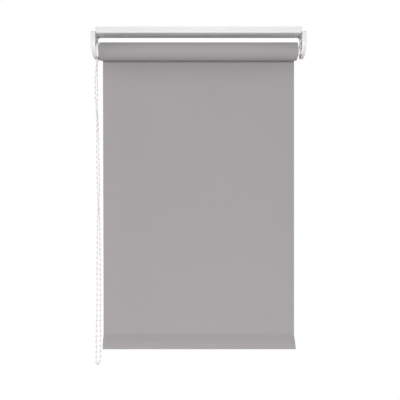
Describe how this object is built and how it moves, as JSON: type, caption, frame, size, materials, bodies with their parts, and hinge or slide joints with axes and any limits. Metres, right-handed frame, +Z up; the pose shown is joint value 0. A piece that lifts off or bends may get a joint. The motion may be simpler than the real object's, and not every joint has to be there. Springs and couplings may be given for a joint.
{
  "type": "roller blind",
  "caption": "Roller blind on a ceiling rail, with a chain drive, a sprung idler pin, wound and hanging grey cloth, a weighted hem and covered end brackets.",
  "frame": {"origin": "centre of the rail's top face, which lies against the ceiling", "axes": "+X along the rail, away from the chain; +Y to the window; +Z up"},
  "size_m": [0.49, 0.0535, 0.7827],
  "materials": {
    "white_paint": "satin white powder coat",
    "white_plastic": "smooth moulded white plastic",
    "wheel_plastic": "moulded white plastic, slightly matt",
    "bead_plastic": "white moulded beads on a white cord",
    "cloth": "light grey woven polyester, fine plain weave",
    "steel": "zinc-plated steel",
    "dark_plastic": "dark glass-filled plastic",
    "aluminium": "mill-finish extruded aluminium"
  },
  "bodies": {
    "frame": {"mounting_rail": "white_paint", "left_bracket": "white_paint", "right_bracket": "white_paint", "left_side_cover": "white_plastic", "right_side_cover": "white_plastic", "left_clamp_screw": "steel", "right_clamp_screw": "steel", "chain_guard": "white_plastic", "clutch_core": "dark_plastic", "core_screw": "steel", "idler_seat": "white_plastic", "seat_washer": "steel", "cloth_sheet": "cloth", "stop_ball": "bead_plastic", "chain_front_top": "bead_plastic", "chain_connector": "bead_plastic", "chain_loop": "bead_plastic"},
    "roller": {"roller_tube": "aluminium", "keeper_strip": "wheel_plastic", "cloth_roll": "cloth", "drive_plug": "wheel_plastic", "idler_plug": "wheel_plastic", "idler_spring": "steel", "wrap_spring_1": "steel", "wrap_spring_2": "steel"},
    "drive_wheel": {"chain_wheel": "wheel_plastic"},
    "hem": {"hem_pocket": "cloth", "bottom_bar": "aluminium", "left_bar_cap": "wheel_plastic", "right_bar_cap": "wheel_plastic"},
    "pin": {"idler_pin": "steel"}
  },
  "joints": [
    {"name": "roller_spin", "type": "hinge", "parent": "frame", "child": "roller", "pos_m": [0, 0, -0.0523], "axis": [1, 0, 0], "range_deg": [0, 1800]},
    {"name": "wheel_spin", "type": "hinge", "parent": "frame", "child": "drive_wheel", "pos_m": [0, 0, -0.0523], "axis": [1, 0, 0], "range_deg": [0, 1800]},
    {"name": "bar_lift", "type": "slide", "parent": "frame", "child": "hem", "axis": [0, 0, 1], "range_m": [0, 0.63461], "deforming": ["cloth_sheet"]},
    {"name": "pin_push", "type": "slide", "parent": "roller", "child": "pin", "axis": [-1, 0, 0], "range_m": [0, 0.006], "stiffness_N_per_m": 400, "springref_m": -0.004, "deforming": ["idler_spring"]}
  ],
  "couplings": [
    {"joint": "wheel_spin", "follows": "roller_spin", "ratio": 1},
    {"joint": "bar_lift", "follows": "roller_spin", "m_per_rad": 0.0202}
  ]
}
